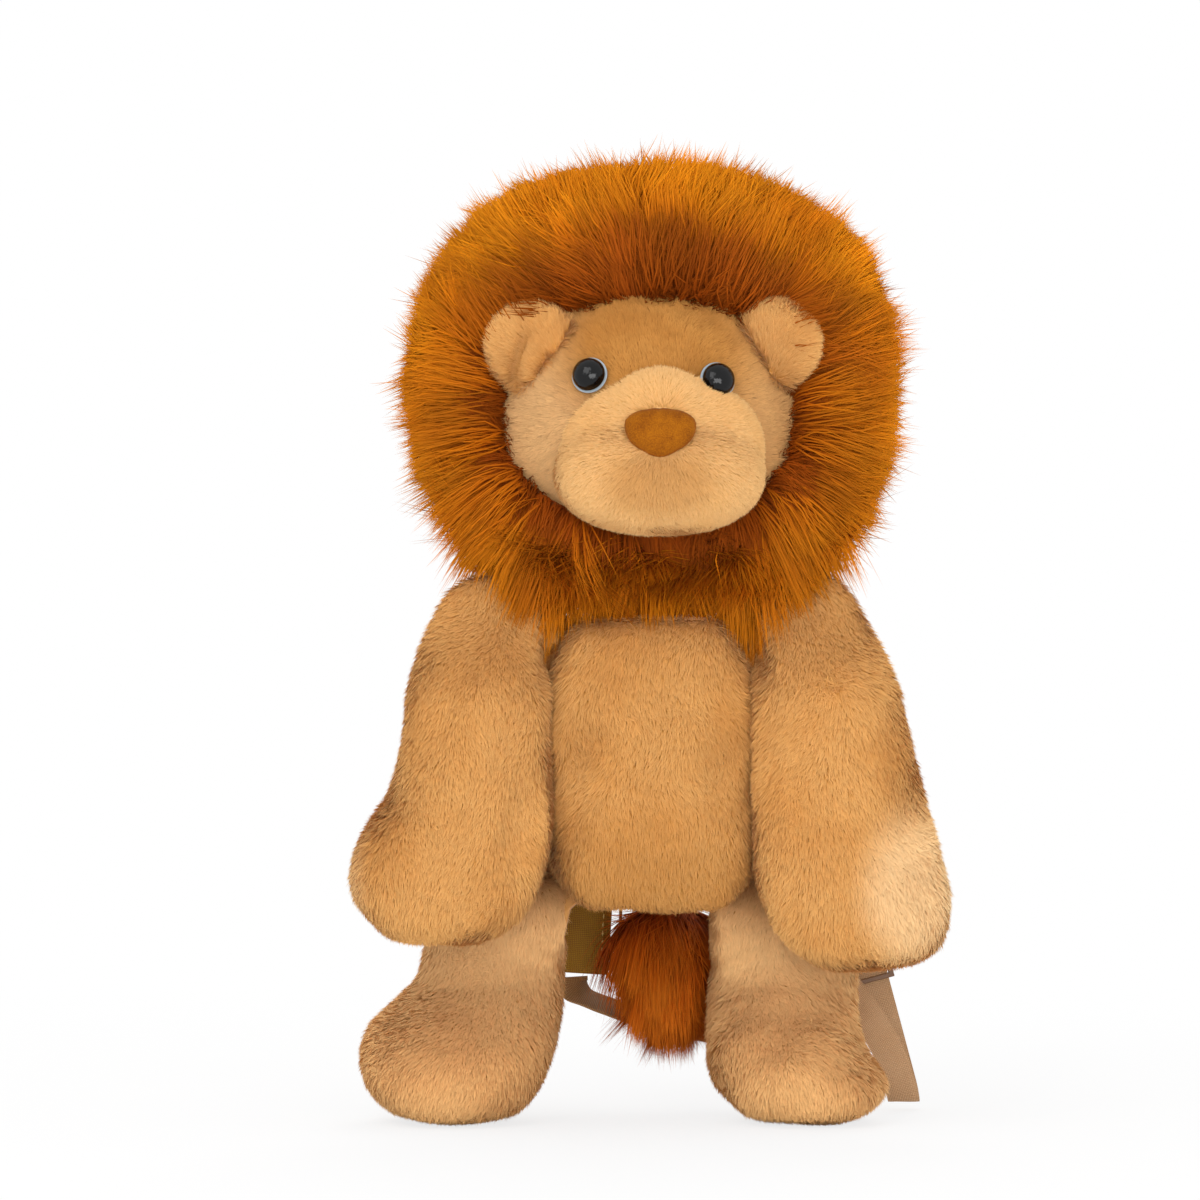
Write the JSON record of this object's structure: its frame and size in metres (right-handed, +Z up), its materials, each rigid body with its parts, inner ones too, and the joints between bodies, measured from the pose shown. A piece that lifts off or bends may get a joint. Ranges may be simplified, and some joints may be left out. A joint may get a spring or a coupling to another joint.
{
  "type": "plush lion backpack",
  "caption": "Plush lion backpack with a long-pile mane, hanging limbs, tufted tail, zipped back and padded shoulder straps, hung by its loop.",
  "frame": {"origin": "inside top of the hanging loop behind the neck, where a hook or a hand carries the backpack", "axes": "+Z up as it hangs, the lion faces -Y, and +X is on the right of a person facing it"},
  "size_m": [0.2748, 0.1803, 0.442],
  "materials": {
    "body_plush": "short tan plush with a downward nap",
    "muzzle_plush": "short pale plush",
    "mane_pile": "long rust pile with bright orange tips",
    "tuft_pile": "long dark rust pile",
    "nose_suede": "brown suede cloth",
    "eye_gloss": "moulded black, polished",
    "eye_rim": "pale grey-white rim",
    "washer_plastic": "natural white nylon",
    "lining_cloth": "plain woven lining",
    "zip_tape": "herringbone woven tape",
    "zip_nylon": "nylon coil",
    "zip_metal": "plated zinc alloy",
    "strap_cloth": "khaki woven cloth over thin foam",
    "strap_webbing": "ribbed woven webbing",
    "adjuster_plastic": "moulded brown acetal"
  },
  "bodies": {
    "bag": {"torso_front": "body_plush", "torso_back": "body_plush", "lining": "lining_cloth", "zip_end_top": "zip_tape", "zip_end_bottom": "zip_tape", "strap_yoke": "strap_cloth", "grab_loop": "strap_webbing", "strap_pad_left": "strap_cloth", "strap_pad_right": "strap_cloth", "webbing_left": "strap_webbing", "webbing_right": "strap_webbing", "anchor_tab_left": "strap_cloth", "anchor_tab_right": "strap_cloth"},
    "neck": {"neck": "body_plush"},
    "head": {"head": "body_plush", "muzzle": "muzzle_plush", "nose": "nose_suede", "eye_left": "eye_gloss", "eye_right": "eye_gloss", "eye_ring_left": "eye_rim", "eye_ring_right": "eye_rim", "eye_washer_left": "washer_plastic", "eye_washer_right": "washer_plastic", "ear_left": "body_plush", "ear_right": "body_plush", "mane": "mane_pile"},
    "arm_left": {"arm_left": "body_plush"},
    "arm_right": {"arm_right": "body_plush"},
    "leg_left": {"leg_left": "body_plush"},
    "leg_right": {"leg_right": "body_plush"},
    "tail": {"tail": "body_plush", "tail_tuft": "tuft_pile"},
    "zip_leaf_left": {"zip_tape_left": "zip_tape", "zip_coil_left": "zip_nylon"},
    "zip_leaf_right": {"zip_tape_right": "zip_tape", "zip_coil_right": "zip_nylon"},
    "zip_slider": {"zip_slider": "zip_metal"},
    "zip_pull": {"zip_pull": "zip_metal"},
    "adjuster_left": {"adjuster_left": "adjuster_plastic"},
    "adjuster_right": {"adjuster_right": "adjuster_plastic"}
  },
  "joints": [
    {"name": "neck_turn", "type": "hinge", "parent": "bag", "child": "neck", "pos_m": [0, -0.0571, -0.023], "axis": [0, 0, 1], "range_deg": [-30, 30], "stiffness_Nm_per_rad": 1.5},
    {"name": "head_nod", "type": "hinge", "parent": "neck", "child": "head", "pos_m": [0, -0.0571, -0.023], "axis": [1, 0, 0], "range_deg": [-3, 12], "stiffness_Nm_per_rad": 14},
    {"name": "arm_left_swing", "type": "hinge", "parent": "bag", "child": "arm_left", "pos_m": [-0.072, -0.0981, -0.035], "axis": [-1, 0, 0], "range_deg": [0, 80]},
    {"name": "arm_right_swing", "type": "hinge", "parent": "bag", "child": "arm_right", "pos_m": [0.072, -0.0981, -0.035], "axis": [-1, 0, 0], "range_deg": [0, 80]},
    {"name": "leg_left_swing", "type": "hinge", "parent": "bag", "child": "leg_left", "pos_m": [-0.064, -0.042, -0.177], "axis": [-1, 0, 0], "range_deg": [-5, 15]},
    {"name": "leg_right_swing", "type": "hinge", "parent": "bag", "child": "leg_right", "pos_m": [0.06, -0.042, -0.177], "axis": [-1, 0, 0], "range_deg": [-5, 15]},
    {"name": "tail_swing", "type": "hinge", "parent": "bag", "child": "tail", "pos_m": [0.006, -0.0072, -0.159], "axis": [1, 0, 0], "range_deg": [0, 60]},
    {"name": "zip_leaf_left_open", "type": "hinge", "parent": "bag", "child": "zip_leaf_left", "pos_m": [-0.0152, -0.0131, -0.101], "axis": [0, 0, -1], "range_deg": [0, 50]},
    {"name": "zip_leaf_right_open", "type": "hinge", "parent": "bag", "child": "zip_leaf_right", "pos_m": [0.0152, -0.0131, -0.101], "axis": [0, 0, 1], "range_deg": [0, 50]},
    {"name": "zip_slide", "type": "slide", "parent": "bag", "child": "zip_slider", "axis": [0, 0, -1], "range_m": [0, 0.0664]},
    {"name": "zip_pull_flip", "type": "hinge", "parent": "zip_slider", "child": "zip_pull", "pos_m": [0, -0.00885, -0.0678], "axis": [1, 0, 0], "range_deg": [0, 85]},
    {"name": "adjuster_left_slide", "type": "slide", "parent": "bag", "child": "adjuster_left", "axis": [-0.9756, 0, 0.2195], "range_m": [0, 0.03]},
    {"name": "adjuster_right_slide", "type": "slide", "parent": "bag", "child": "adjuster_right", "axis": [0.2572, 0, -0.9664], "range_m": [0, 0.036]}
  ]
}
